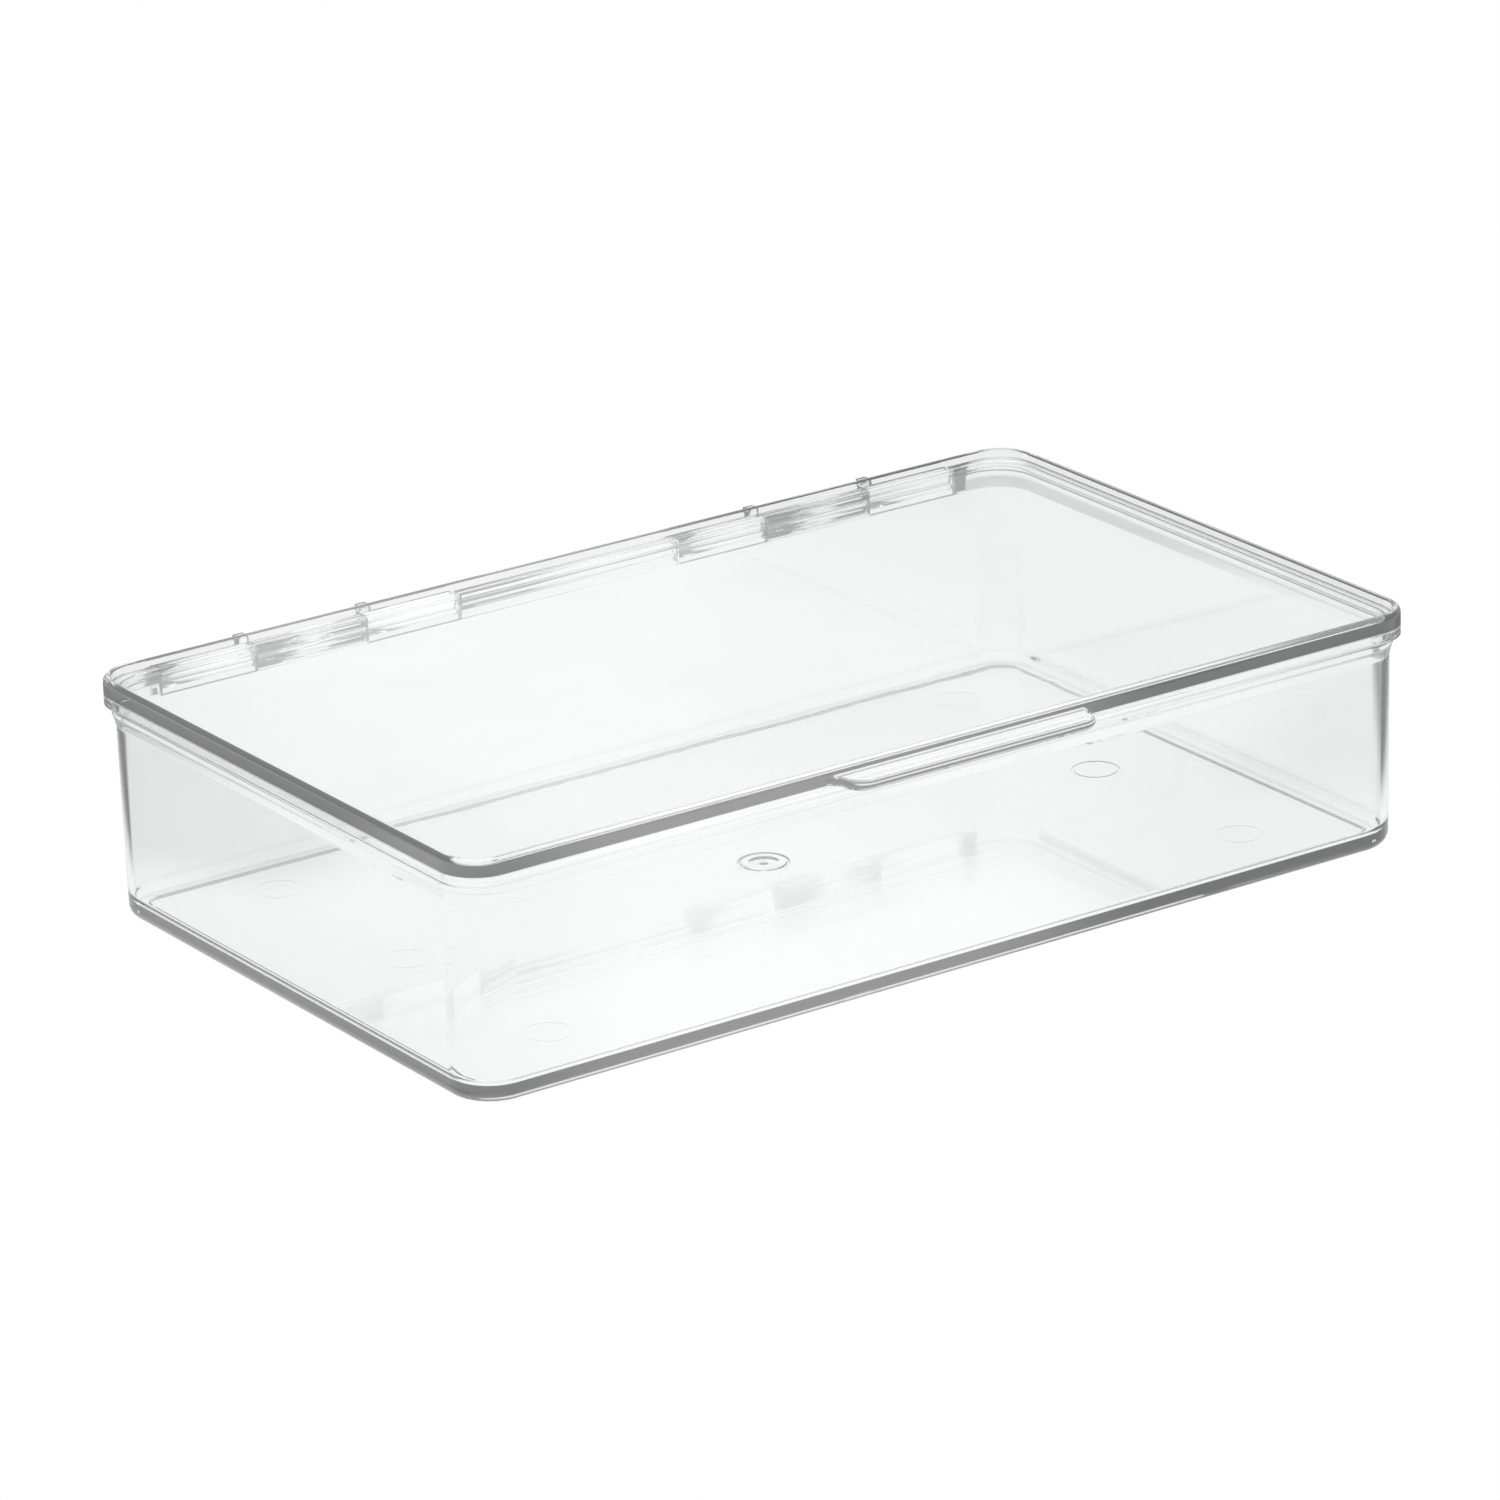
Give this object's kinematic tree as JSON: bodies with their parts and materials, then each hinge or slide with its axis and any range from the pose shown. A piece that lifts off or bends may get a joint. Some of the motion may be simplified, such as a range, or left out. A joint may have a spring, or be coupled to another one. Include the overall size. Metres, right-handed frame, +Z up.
{
  "type": "hinged-lid storage bin",
  "caption": "Shallow clear plastic stackable storage bin with a hinged lid, stacking rim, front thumb tab and pinned knuckle hinges at the back.",
  "frame": {"origin": "middle of the base, on the plane the bin stands on", "axes": "+X along the long side, +Y towards the hinges at the back, +Z up"},
  "size_m": [0.34, 0.2236, 0.0755],
  "materials": {
    "clear_tub": "clear injection-moulded styrenic plastic, polished",
    "clear_lid": "clear injection-moulded styrenic plastic, polished",
    "clear_hinge": "clear injection-moulded styrenic plastic, polished",
    "clear_pin": "clear drawn plastic rod, polished"
  },
  "bodies": {
    "bin": {"bin_body": "clear_tub", "hinge_pin_left": "clear_pin", "hinge_pin_right": "clear_pin"},
    "hinged_lid": {"lid": "clear_lid", "hinge_knuckle_far_left": "clear_hinge", "hinge_knuckle_mid_left": "clear_hinge", "hinge_knuckle_mid_right": "clear_hinge", "hinge_knuckle_far_right": "clear_hinge"}
  },
  "joints": [
    {"name": "lid_hinge", "type": "hinge", "parent": "bin", "child": "hinged_lid", "pos_m": [0, 0.1042, 0.0652], "axis": [-1, 0, 0], "range_deg": [0, 105]}
  ]
}
